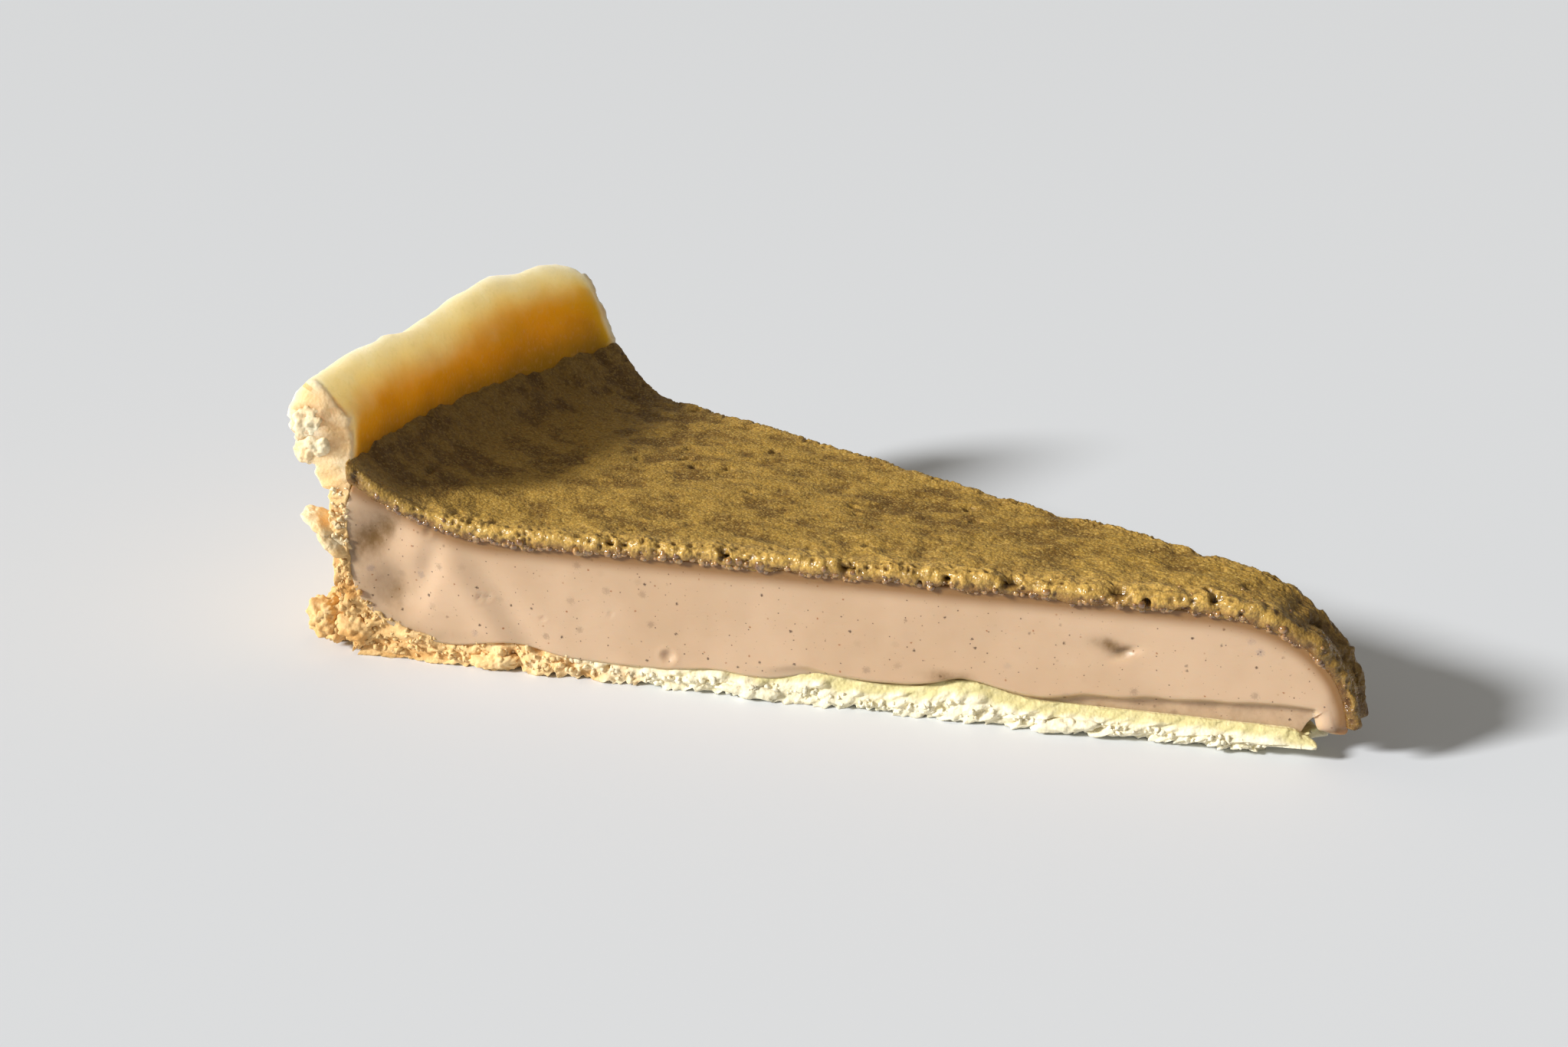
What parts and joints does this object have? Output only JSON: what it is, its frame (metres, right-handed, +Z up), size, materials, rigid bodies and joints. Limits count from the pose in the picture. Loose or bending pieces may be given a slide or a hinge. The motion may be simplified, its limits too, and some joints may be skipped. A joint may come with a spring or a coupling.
{
  "type": "custard tart slice",
  "caption": "Wedge-shaped slice of baked custard tart with a thin pastry case, a smooth custard filling and a browned frothy top.",
  "frame": {"origin": "middle of the slice's footprint, on the flat underside", "axes": "+X from the rim towards the tip, +Z up, so that the cut face that the picture shows is at -Y"},
  "size_m": [0.1234, 0.0624, 0.0357],
  "materials": {
    "pastry": null,
    "custard": null,
    "browned_froth": null
  },
  "bodies": {
    "root": {"pastry_case": "pastry", "custard_filling": "custard", "browned_froth_top": "browned_froth"}
  },
  "joints": []
}
